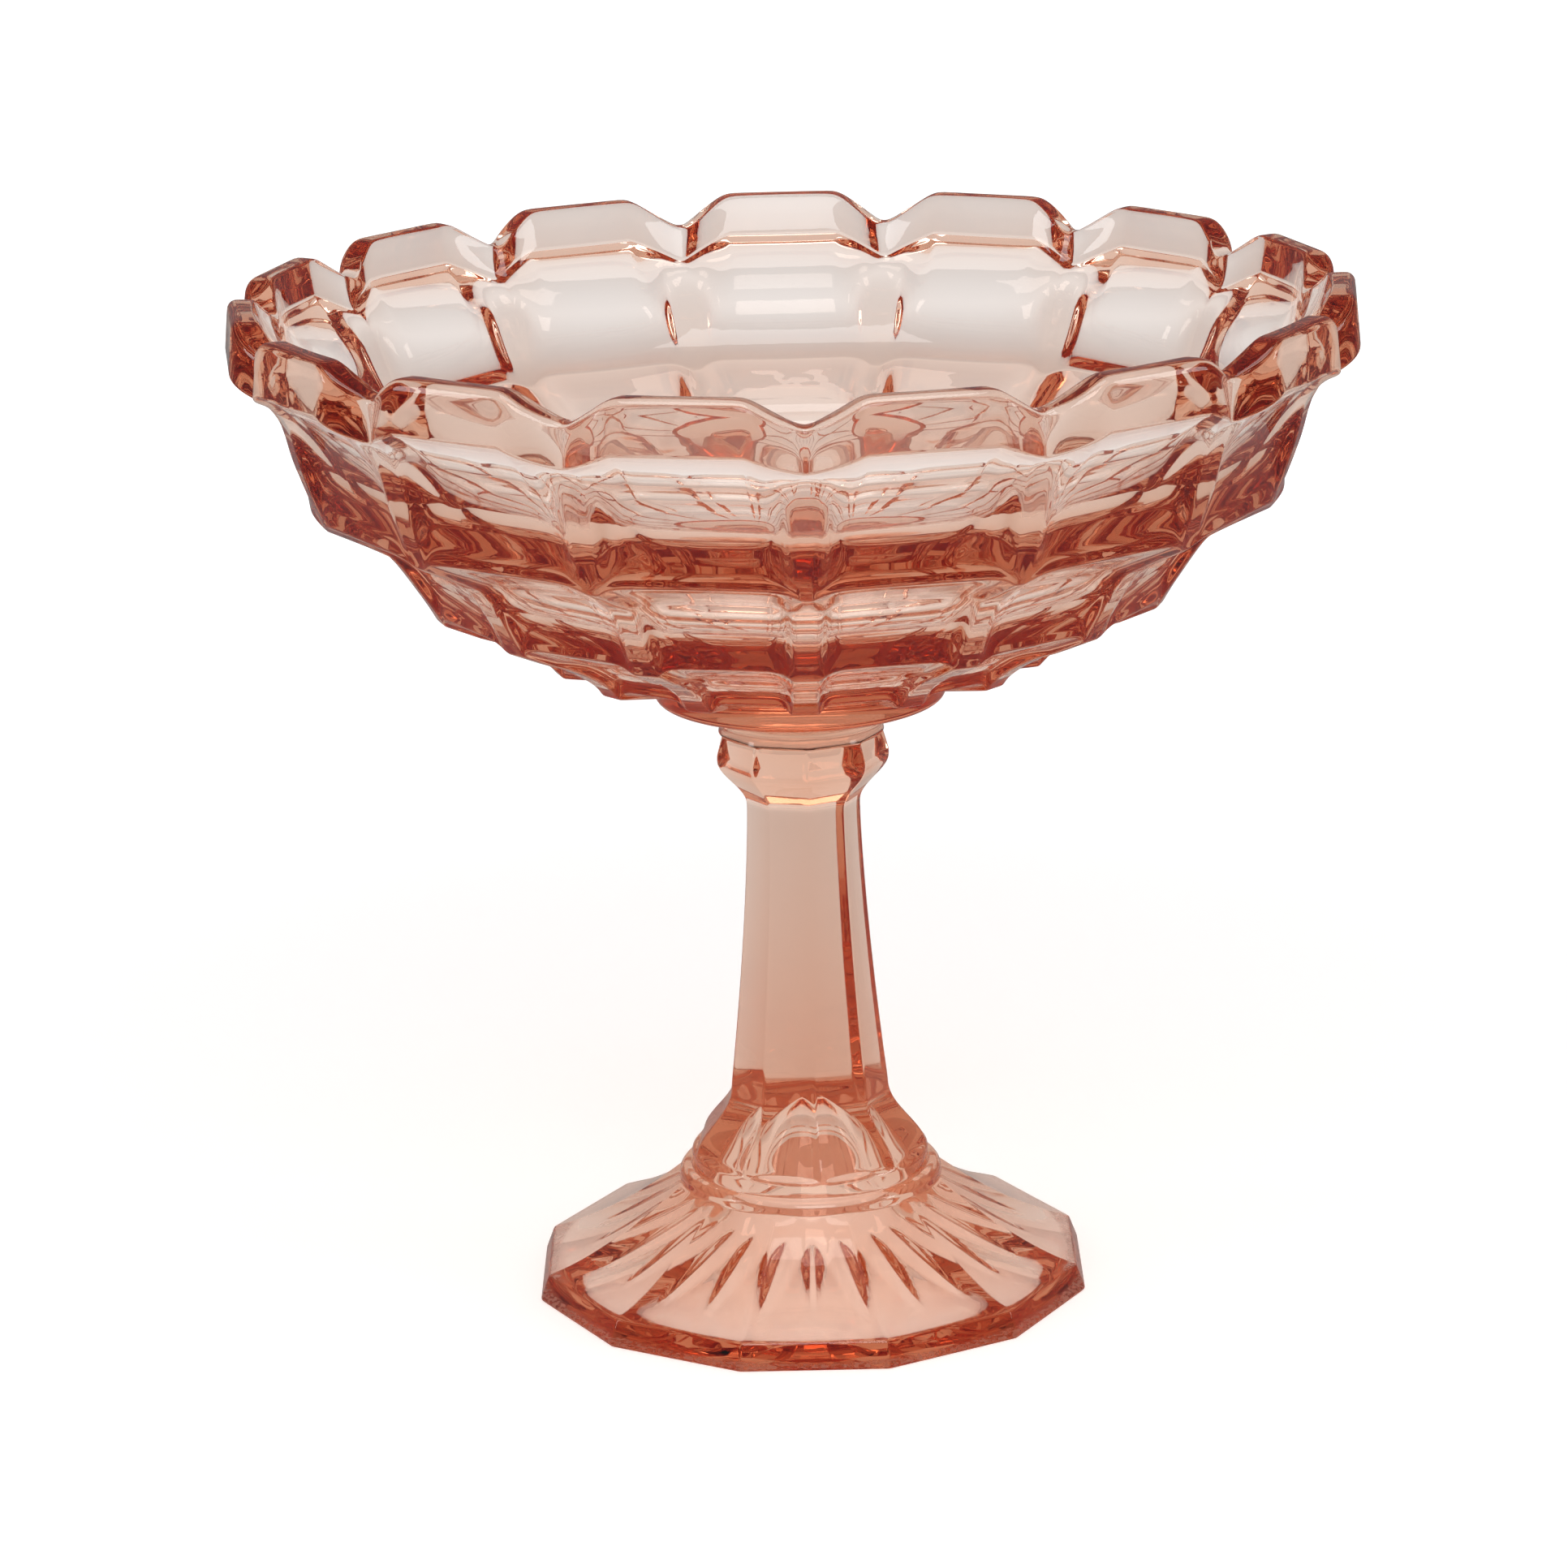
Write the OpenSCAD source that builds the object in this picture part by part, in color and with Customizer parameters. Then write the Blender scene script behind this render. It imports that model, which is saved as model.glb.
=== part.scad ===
// Footed compote bowl in pressed glass: a fifteen-lobed stepped bowl, a thin joining wafer,
// and a standard with a nine-sided stem and a twelve-sided foot. Millimetres, +Z up,
// origin on the table at the middle of the foot.

/* [Bowl] */
// Number of lobes round the rim, and of flute columns below them
lobe_count = 15; // [12:1:18]
// Turn of the bowl about the axis, so that a notch faces the front at 0
bowl_turn = 1; // [-12:0.5:12]
// Height of the rim crest above the table
rim_z = 199.9; // [188:0.1:212]
// Radius of the cavity at the crest of the rim
mouth_r = 103; // [97:0.5:110]
// Thickness of the rim at a lobe, from the mouth to the lobe's flat face
rim_wall = 4.5; // [4:0.1:5.5]
// Share of a lobe's half width that is its flat face
lobe_flat = 0.57; // [0.45:0.01:0.75]
// Roundness of a lobe's flanks seen from above, from 1 for straight ones
lobe_power = 1.9; // [1.2:0.1:2.4]
// Height of the rim band at a lobe
band_h = 9; // [7:0.1:11]
// Draft of the rim band, by which its top is narrower than its foot
band_draft = 0.8; // [0.2:0.1:1.5]
// Drop of the rim crest from a lobe to a notch
notch_drop = 5.2; // [3:0.1:6]
// Drop of the band's foot from a lobe to the groove point
groove_drop = 3.8; // [2:0.1:5]
// Depth of the groove point below a notch, inward from a lobe's flat face
groove_in = 4; // [3:0.1:4.6]
// Height of the rounded crest above the rim's outer edge
crest_round = 1.2; // [0.6:0.1:1.8]

/* [Cavity] */
// Bend in the cavity's upper wall, as a share of the mouth's radius
bend_share = 0.955; // [0.945:0.001:0.965]
// Drop of that bend below the rim crest
bend_drop = 9.9; // [9:0.1:11]
// Foot of the cavity's upper wall, as a share of the mouth's radius
crease1_share = 0.85; // [0.835:0.001:0.865]
// Drop of the upper wall's foot below the rim crest
crease1_drop = 27.9; // [26.5:0.1:29.5]
// Inner edge of the shelf below the upper wall, as a share of the mouth's radius
shelf1_share = 0.682; // [0.67:0.001:0.7]
// Fall of that shelf
shelf1_fall = 11.5; // [10:0.1:13]
// Foot of the cavity's middle wall, as a share of the mouth's radius
crease2_share = 0.646; // [0.63:0.001:0.66]
// Height of the middle wall
wall2_h = 10.5; // [9:0.1:12]
// Inner edge of the shelf below the middle wall, as a share of the mouth's radius
shelf2_share = 0.447; // [0.44:0.001:0.47]
// Fall of that shelf
shelf2_fall = 11; // [10:0.1:12]
// Foot of the cavity's lower wall, as a share of the mouth's radius
crease3_share = 0.427; // [0.41:0.001:0.435]
// Height of the lower wall
wall3_h = 5; // [4:0.1:6]
// Depth of the dished floor below the lower wall's foot
dish_drop = 4.5; // [3:0.1:5.5]

/* [Tiers] */
// First tier's corner as a share of the distance from the axis to a lobe's flat face
corner1_share = 0.87; // [0.855:0.001:0.885]
// Drop of the first tier's corner below the rim crest
corner1_drop = 36.8; // [35.6:0.1:39]
// Second tier's corner as a share of the same distance
corner2_share = 0.669; // [0.655:0.001:0.68]
// Drop of the second tier's corner below the first
corner2_drop = 20.2; // [19:0.1:22]
// Third tier's corner as a share of the same distance
corner3_share = 0.455; // [0.435:0.001:0.47]
// Drop of the third tier's corner below the second
corner3_drop = 12.7; // [11.8:0.1:13.6]
// Width of the ledge under the first tier
ledge1_w = 10.6; // [9:0.1:11.6]
// Width of the ledge under the second tier
ledge2_w = 8.1; // [7:0.1:9.4]
// Fall of the ledge under the first tier, from its corner to the second tier
ledge1_fall = 5; // [4:0.1:6]
// Fall of the ledge under the second tier, from its corner to the third tier
ledge2_fall = 3.4; // [2.6:0.1:4.2]
// Dip of a tier's corner from the middle of a column to the ridge beside it
corner_dip = 2.1; // [1:0.1:2.6]
// Depth of the groove between two columns at a tier's corner
corner_groove = 0.4; // [0:0.1:1.4]
// Swell of the ridge between two columns at the middle of the first tier
swell1 = 4.2; // [2.5:0.1:5]
// Swell of the ridge between two columns at the middle of the lower tiers
swell2 = 2.9; // [1:0.1:3.5]
// Bend of the first tier's columns, by which they fall in sooner as it goes down
bend1 = 0.7; // [0.6:0.01:1]
// Bend of the second tier's columns
bend2 = 0.77; // [0.65:0.01:1.1]
// Bend of the third tier's columns
bend3 = 0.85; // [0.7:0.01:1.2]
// Depth by which the middle of the first tier's columns is scooped
scoop1 = 1.4; // [0.6:0.1:2]
// Depth by which the middle of the lower tiers' columns is scooped
scoop2 = 0.6; // [0.2:0.1:1.2]
// Squareness of a scooped column, from 2 for a round hollow to more for a flat one with steep sides
flute_power = 9; // [3:1:12]
// Half width of the almond ridge between two columns of the first tier
almond_half = 3.4; // [2.4:0.1:4]
// Half width of the blunt ridge between two columns of the lower tiers
ridge_half = 2.6; // [1.6:0.1:3]
// Radius of the plain disc under the bowl's floor
disc_r = 28.3; // [26:0.1:31]
// Drop of the disc's lower edge below the third tier's corner
disc_drop = 11; // [10.1:0.1:11.9]
// Drop of the seat on the wafer below the disc's lower edge
seat_drop = 3.6; // [3:0.1:4.4]

/* [Wafer] */
// Thickness of the wafer
wafer_t = 3.2; // [2.4:0.1:4]
// Radius of the wafer at its faces
wafer_r = 16.2; // [15.4:0.1:16.8]
// Depth of the soft waist round the wafer
wafer_waist = 0.4; // [0.1:0.1:0.8]

/* [Stem] */
// Number of flat sides of the knop and stem
stem_sides = 9; // [6:1:12]
// Turn of the stem about the axis, from a corner at the front
stem_turn = 5.5; // [-20:0.5:20]
// Corner radius of the knop
knop_r = 17.1; // [16.9:0.1:18]
// Height of the knop's band
knop_h = 1; // [0.5:0.1:2]
// Height of the sloping faces above the knop's band
knop_chamfer = 4; // [3:0.1:5]
// Height of the hollow curve from the knop down to the stem
knop_taper_h = 9.3; // [7.5:0.1:11]
// Corner radius of the stem at its narrowest
stem_r = 11.3; // [10:0.1:13]
// Corner radius of the stem where its flare begins
stem_low_r = 15.8; // [14.5:0.1:16.5]
// Height where the flare begins
flare_z = 41; // [38:0.5:44]

/* [Foot] */
// Radius of the upper collar
collar1_r = 23.4; // [22:0.1:24.5]
// Thickness of the upper collar
collar1_h = 3.9; // [3:0.1:4.6]
// Radius of the lower collar
collar2_r = 25.9; // [25:0.1:27.5]
// Thickness of the lower collar
collar2_h = 2.7; // [2:0.1:3.6]
// Height of the lower collar's lower edge above the table
collar_z = 21; // [20:0.1:22.4]
// Number of straight sides of the foot
foot_sides = 12; // [8:1:12]
// Corner radius of the foot on the table
foot_r = 55.7; // [53:0.1:60]
// Height of the foot's edge band
foot_edge_h = 5.4; // [4.5:0.1:7]
// Draft of the edge band, by which its top is narrower than its foot
foot_draft = 1.8; // [0.6:0.1:2.4]
// Sag of the foot's sloping panels below a straight slope
foot_sag = 1.7; // [0.2:0.1:2.4]
// Width of the flat ring that the foot rests on, at the middle of a side
rest_w = 5.3; // [4.6:0.1:8]
// Height of the hollow's top above the table
hollow_z = 38; // [34:0.1:40]
// Number of rays pressed into the underside
ray_count = 24; // [16:1:30]
// Distance of the rays' outer tips inward from the hollow's edge
ray_in = 8; // [6.6:0.1:10]
// Half the opening angle of a ray's V
ray_spread = 58; // [45:1:65]
// Length of a ray along the radius
ray_length = 22; // [19:0.5:24]

/* [Hidden] */

// Glass colour of the three pieces
glass = [0.93, 0.66, 0.56, 0.7];
// Segment count of the round faces
round_fn = 96;
// Angle from the middle of a column to the ridge beside it
half_step = 180 / lobe_count;
// Positions across a column, from one edge of it to the other
flank = (2 + lobe_flat) / 3;
spots = [-1, -flank, -lobe_flat, 0, lobe_flat, flank, 1];
// Half width of the groove between two lobes
groove_half = 0.35;
// Distance from the axis to the flat face of a lobe, and to the groove point below a notch
lobe_r = mouth_r + rim_wall;
groove_r = lobe_r - groove_in;
// Distances from the axis to the three tiers' corners at the middle of a column
corner1_r = lobe_r * corner1_share;
corner2_r = lobe_r * corner2_share;
corner3_r = lobe_r * corner3_share;
// Heights of the three tiers' corners at the middle of a column
corner1_z = rim_z - corner1_drop;
corner2_z = corner1_z - corner2_drop;
corner3_z = corner2_z - corner3_drop;
// Heights of the disc's lower edge, and of the wafer's two faces
disc_z = corner3_z - disc_drop;
seat_z = disc_z - seat_drop;
wafer_z = seat_z - wafer_t;
// Height of the disc's upper edge, inside the third tier's ledge
disc_top_z = disc_z + 5;
// Foot of the rim band at a lobe
band_z = rim_z - crest_round - band_h;
// Heights of the cavity's steps, from the upper wall's foot down to the floor
crease1_z = rim_z - crease1_drop;
shelf1_z = crease1_z - shelf1_fall;
crease2_z = shelf1_z - wall2_h;
shelf2_z = crease2_z - shelf2_fall;
crease3_z = shelf2_z - wall3_h;
floor_z = crease3_z - dish_drop;
// Steps along each tier
tier_steps = 6;
// Radius of the hollow under the foot at the table, and of the rays' outer tips
hollow_r = foot_r * cos(180 / foot_sides) - rest_w;
ray_tip_r = hollow_r - ray_in;
// Height of the upper collar's upper edge
collar_top_z = collar_z + collar1_h + collar2_h;
// Top of the knop's band
knop_top_z = wafer_z - knop_chamfer;
// Foot of the knop's band
knop_low_z = knop_top_z - knop_h;

function mix(a, b, t) = a + (b - a) * t;

// Share of a lobe's full stand-out at a place across it: a flat face with two sloping flanks
function lobe_share(w) =
    let (a = abs(w))
    a <= lobe_flat ? 1 : (1 - a) / (1 - lobe_flat);

// The same share seen from above, where the flanks round over
function lobe_round(w) = 1 - pow(1 - lobe_share(w), lobe_power);

// Share of a flute's full depth at a place across it
function flute_share(w) = 1 - pow(abs(w), flute_power);

// One ring of points round the bowl. Each column lies between two ridges. row holds the
// height at a column's middle, the drop to its ridge, the ridge's radius, the middle's
// distance from the axis, the ridge's half width, and 0 for a lobe or 1 for a flute.
function ring(row) =
    let (
        blunt = asin(row[4] / row[2]),
        edge_d = row[2] * cos(half_step - blunt),
        edge_t = row[2] * sin(half_step - blunt)
    )
    [for (k = [0 : lobe_count - 1], w = spots)
        let (
            share = mix(lobe_share(w), flute_share(w), row[5]),
            stand = mix(lobe_round(w), flute_share(w), row[5]),
            d = edge_d + (row[3] - edge_d) * stand,
            t = edge_t * w,
            turn = bowl_turn - 90 + half_step + 2 * half_step * k,
            z = row[0] - row[1] * (1 - share)
        )
        [d * cos(turn) - t * sin(turn), d * sin(turn) + t * cos(turn), z]
    ];

// Rows of the first tier, from its corner up to the foot of the rim band. The column
// sweeps inward from the lobe to the corner, its middle is scooped, and the ridge beside it
// swells to an almond between the groove points and the corner.
function tier1_rows() =
    [for (i = [tier_steps + 1 : -1 : 0])
        let (
            t = i / (tier_steps + 1),
            mean_r = mix(lobe_r, corner1_r, sin(90 * pow(t, bend1))),
            groove = mix(lobe_r - groove_r, corner_groove, t),
            dip = mix(groove_drop, corner_dip, min(1, 1.6 * t)),
            wide = mix(groove_half, almond_half, sin(167 * pow(t, 0.8)))
        )
        [mix(band_z, corner1_z, t), dip, mean_r - groove + swell1 * sin(180 * t),
            mean_r - scoop1 * sin(180 * t), wide, min(1, 2 * t)]
    ];

// Rows of a lower tier, from its corner up to the ledge of the tier above. bend is near 1
// for a straight slope and more for a hollow one.
function tier_rows(low_r, low_z, top_r, top_z, bend) =
    [for (i = [tier_steps - 1 : -1 : 0])
        let (
            t = i / (tier_steps - 1),
            mean_r = mix(top_r, low_r, sin(90 * pow(t, bend))),
            ridge_r = mean_r - corner_groove * t + swell2 * sin(180 * t) * mean_r / corner1_r
        )
        [mix(top_z, low_z, t), corner_dip, ridge_r, mean_r - scoop2 * sin(180 * t), ridge_half, 1]
    ];

// Rows of the rim from the band's foot up and over the crest into the mouth
function rim_rows() =
    [
        [band_z + band_h, notch_drop - 0.3, groove_r - band_draft / 2, lobe_r - band_draft,
            groove_half, 0],
        [rim_z - 0.25, notch_drop, groove_r - 1.1, lobe_r - band_draft - 1.1, groove_half, 0],
        [rim_z, notch_drop, groove_r - 2.2, lobe_r - band_draft - 2.2, groove_half, 0],
        [rim_z - 0.1, notch_drop, mouth_r - 6, mouth_r - 3, groove_half, 0],
        [rim_z - 12, 0, mouth_r / 2, mouth_r / 2, groove_half, 1]
    ];

// All rows of the bowl's outside, from the cap inside the disc up to the cap inside the mouth
function bowl_rows() =
    concat(
        [[disc_top_z, 0, disc_r - 1.5, disc_r - 1.7, 1, 1]],
        tier_rows(corner3_r, corner3_z, corner2_r - ledge2_w, corner2_z - ledge2_fall, bend3),
        tier_rows(corner2_r, corner2_z, corner1_r - ledge1_w, corner1_z - ledge1_fall, bend2),
        tier1_rows(),
        rim_rows()
    );

// Profile of the cavity: a dished floor, three walls with two shelves between them, and a
// clearance above the rim
dish_steps = 8;
dish_r = mouth_r * crease3_share;
cavity_profile = concat(
    [for (i = [0 : dish_steps])
        let (s = i / dish_steps)
        [dish_r * s, mix(floor_z, crease3_z, s * s)]],
    [[mouth_r * shelf2_share, shelf2_z], [mouth_r * crease2_share, crease2_z],
        [mouth_r * shelf1_share, shelf1_z], [mouth_r * crease1_share, crease1_z],
        [mouth_r * bend_share, rim_z - bend_drop],
        [mouth_r, rim_z], [mouth_r + 0.6, rim_z + 6], [0, rim_z + 6]]
);

// Solid outside of the bowl, with the stepped flutes and the lobed rim
module bowl_outside() {
    rows = bowl_rows();
    count = len(rows);
    n = lobe_count * len(spots);
    points = [for (row = rows) each ring(row)];
    sides = [for (i = [0 : count - 2], j = [0 : n - 1])
        [i * n + j, (i + 1) * n + j, (i + 1) * n + (j + 1) % n, i * n + (j + 1) % n]];
    bottom = [for (j = [0 : n - 1]) j];
    top = [for (j = [n - 1 : -1 : 0]) (count - 1) * n + j];
    polyhedron(points, concat([bottom], sides, [top]), convexity = 10);
}

// Plain disc under the floor, with a conical underside down to the seat on the wafer
module bowl_disc() {
    rotate_extrude($fn = round_fn)
        polygon([[0, seat_z], [wafer_r, seat_z], [disc_r - 0.8, disc_z], [disc_r, disc_z + 0.8],
            [disc_r, disc_top_z + 0.4], [0, disc_top_z + 0.4]]);
}

// Pressed bowl
module bowl() {
    color(glass)
        difference() {
            union() {
                bowl_outside();
                bowl_disc();
            }
            rotate_extrude($fn = round_fn)
                polygon(cavity_profile);
        }
}

// Thin disc of glass that joins the bowl to the standard
module joining_wafer() {
    color(glass)
        rotate_extrude($fn = round_fn)
            polygon([[0, wafer_z], [wafer_r, wafer_z], [wafer_r - wafer_waist, wafer_z + wafer_t / 3],
                [wafer_r - wafer_waist, seat_z - wafer_t / 3], [wafer_r, seat_z], [0, seat_z]]);
}

// Corner radius of the stem's hollow curve below the knop, at a share of its height
function taper_r(t) = mix(knop_r, stem_r, (1 - cos(180 * pow(t, 0.95))) / 2);

// Corner radius of the stem's shaft, at a share of its height from the top
function shaft_r(t) = mix(stem_r, stem_low_r, pow(t, 1.5));

// Corner radius of the flare, at a share of its height from the top
function flare_r(t) = mix(stem_low_r, collar1_r - 0.2, (1 - cos(180 * pow(t, 1.17))) / 2);

// Profile of the knop, stem and flare, from the wafer down to the upper collar
shaft_top_z = knop_low_z - knop_taper_h;
stem_profile = concat(
    [[0, wafer_z], [knop_r - 1.1, wafer_z], [knop_r, knop_top_z]],
    [for (i = [0 : 6]) let (t = i / 6) [taper_r(t), mix(knop_low_z, shaft_top_z, t)]],
    [for (i = [1 : 8]) let (t = i / 8) [shaft_r(t), mix(shaft_top_z, flare_z, t)]],
    [for (i = [1 : 6]) let (t = i / 6) [flare_r(t), mix(flare_z, collar_top_z - 0.6, t)]],
    [[0, collar_top_z - 0.6]]
);

// Knop, stem and flare with flat sides
module stem_shaft() {
    rotate([0, 0, stem_turn + 90])
        rotate_extrude($fn = stem_sides)
            polygon(stem_profile);
}

// Two round collars above the foot
module collars() {
    rotate_extrude($fn = round_fn)
        polygon([[0, collar_z - 1], [collar2_r - 0.5, collar_z - 1], [collar2_r, collar_z],
            [collar2_r, collar_z + collar2_h - 1], [collar2_r - 0.8, collar_z + collar2_h],
            [collar1_r, collar_z + collar2_h], [collar1_r, collar_top_z - 0.8],
            [collar1_r - 0.8, collar_top_z], [0, collar_top_z]]);
}

// Corner radius of the foot at the top of its panels and at the top of its edge band
skirt_top_r = collar2_r / cos(180 / foot_sides);
skirt_low_r = foot_r - foot_draft;

// Profile of the foot, from under the lower collar to the table
skirt_profile = concat(
    [[0, collar_z], [skirt_top_r, collar_z]],
    [for (i = [1 : 6])
        let (t = i / 6)
        [mix(skirt_top_r, skirt_low_r, t),
            mix(collar_z, foot_edge_h, t) - foot_sag * 4 * t * (1 - t)]],
    [[foot_r, 0.7], [foot_r - 0.5, 0], [0, 0]]
);

// Foot with sloping panels, a straight edge band and a flat underside
module foot_skirt() {
    rotate([0, 0, -90 + 180 / foot_sides])
        rotate_extrude($fn = foot_sides)
            polygon(skirt_profile);
}

// Height of the hollow's wall at a share of its radius on the table
function hollow_wall(s) =
    hollow_z * (0.42 * pow(1 - s, 1.25) + 0.58 * (1 + cos(180 * min(1, 2.1 * s))) / 2);

// Hollow under the foot, up into the flare
module foot_hollow() {
    rotate_extrude($fn = round_fn)
        polygon(concat(
            [[0, -1], [hollow_r, -1]],
            [for (i = [24 : -1 : 0]) let (s = i / 24) [hollow_r * s, hollow_wall(s)]]
        ));
}

// One ray: a V groove whose root runs straight from its tip to its start on the hollow's wall,
// so that it is deepest halfway and comes to a point at both ends
ray_start_r = ray_tip_r - ray_length;
ray_tip_z = hollow_wall(ray_tip_r / hollow_r);
ray_slope = atan((hollow_wall(ray_start_r / hollow_r) - ray_tip_z) / ray_length);
ray_drop = 6;
module ray() {
    translate([ray_tip_r, 0, ray_tip_z])
        rotate([0, ray_slope, 0])
            rotate([90, 0, -90])
                linear_extrude(height = ray_length / cos(ray_slope))
                    polygon([[0, 0], [ray_drop * tan(ray_spread), -ray_drop],
                        [-ray_drop * tan(ray_spread), -ray_drop]]);
}

// Pressed standard: knop, stem, collars and foot in one piece
module stem_and_foot() {
    color(glass)
        difference() {
            union() {
                stem_shaft();
                collars();
                foot_skirt();
            }
            foot_hollow();
            for (k = [0 : ray_count - 1])
                rotate([0, 0, k * 360 / ray_count - 90])
                    ray();
        }
}

bowl();
joining_wafer();
stem_and_foot();
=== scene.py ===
"""Looks of a footed compote bowl in pressed pink glass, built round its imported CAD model.

Each of the three pieces of glass is rebuilt as one leaf of its mould: a dense polar sheet whose edges are
softened as fire polishing does, thinned where it is plain, and repeated round the axis by Geometry Nodes.
Lengths inside the classes are millimetres, in the frame of the CAD model, and the bends of rows and columns
are degrees; meshes are in metres.
"""

import logging
import math
from dataclasses import dataclass, field
from enum import Enum

import bpy
import numpy as np
from mathutils import Matrix, Vector


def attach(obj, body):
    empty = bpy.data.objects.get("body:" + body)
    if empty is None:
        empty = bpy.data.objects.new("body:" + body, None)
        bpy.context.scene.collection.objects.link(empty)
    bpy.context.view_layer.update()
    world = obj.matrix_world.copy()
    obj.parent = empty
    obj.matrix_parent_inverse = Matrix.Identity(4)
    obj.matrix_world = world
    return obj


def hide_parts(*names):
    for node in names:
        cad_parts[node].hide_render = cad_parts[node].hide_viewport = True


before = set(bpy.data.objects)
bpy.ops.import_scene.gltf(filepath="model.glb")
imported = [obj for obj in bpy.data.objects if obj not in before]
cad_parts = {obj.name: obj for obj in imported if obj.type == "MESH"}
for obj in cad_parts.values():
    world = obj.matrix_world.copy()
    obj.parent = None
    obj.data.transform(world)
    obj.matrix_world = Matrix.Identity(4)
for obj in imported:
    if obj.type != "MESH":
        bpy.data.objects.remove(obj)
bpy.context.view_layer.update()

Colour = tuple[float, float, float, float]
Point = tuple[float, float, float]
Pair = tuple[float, float]

LOG = logging.getLogger("compote")
MM = 0.001
JOIN_DISTANCE = 2e-6
WHITE = (1.0, 1.0, 1.0, 1.0)
BLACK = (0.0, 0.0, 0.0, 1.0)
PLAIN, JOINED, RUBBED = 0.0, 1.0, 2.0  # tags of a sheet's rows: no mark, a hot joint, a worn place


class Axis(Enum):
    """Direction of a softening pass over a sheet."""

    ALONG = 0
    ACROSS = 1


class Ray(Enum):
    """Light Path outputs that a stage material tells apart."""

    CAMERA = "Is Camera Ray"
    GLOSSY = "Is Glossy Ray"
    TRANSMISSION = "Is Transmission Ray"
    SHADOW = "Is Shadow Ray"


def mix(a: float, b: float, t: float) -> float:
    """Straight mix of two values."""
    return a + (b - a) * t


def bell(sigma: float) -> np.ndarray:
    """Weights of a softening pass.

    Args:
        sigma: Spread of the pass, in samples.

    Returns:
        Weights that add up to one.
    """
    half = max(1, math.ceil(3.0 * sigma))
    steps = np.arange(-half, half + 1)
    weights = np.exp(-0.5 * (steps / max(sigma, 1e-3)) ** 2)
    return weights / weights.sum()


def places(tracks: np.ndarray, reach: float, bend: float) -> np.ndarray:
    """Spread grid lines along a sheet, close together where its tracks bend.

    Args:
        tracks: Points of the tracks, as samples by tracks by coordinates.
        reach: Widest step on a straight run, in millimetres.
        bend: Widest turn at one step, in degrees.

    Returns:
        Fractional sample numbers of the grid lines, with both ends.
    """
    steps = np.diff(tracks, axis=0)
    lengths = np.linalg.norm(steps, axis=2)
    ways = steps / np.maximum(lengths, 1e-9)[..., None]
    turns = np.arccos(np.clip((ways[1:] * ways[:-1]).sum(2), -1.0, 1.0))
    turns[np.minimum(lengths[1:], lengths[:-1]) < 1e-6] = 0.0
    half = turns / (2.0 * math.radians(bend))
    weight = lengths / reach
    weight[:-1] += half
    weight[1:] += half
    total = np.concatenate([[0.0], np.cumsum(weight.mean(1))])
    count = max(2, math.ceil(total[-1]))
    return np.interp(np.linspace(0.0, total[-1], count + 1), total, np.arange(len(total)))


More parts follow.
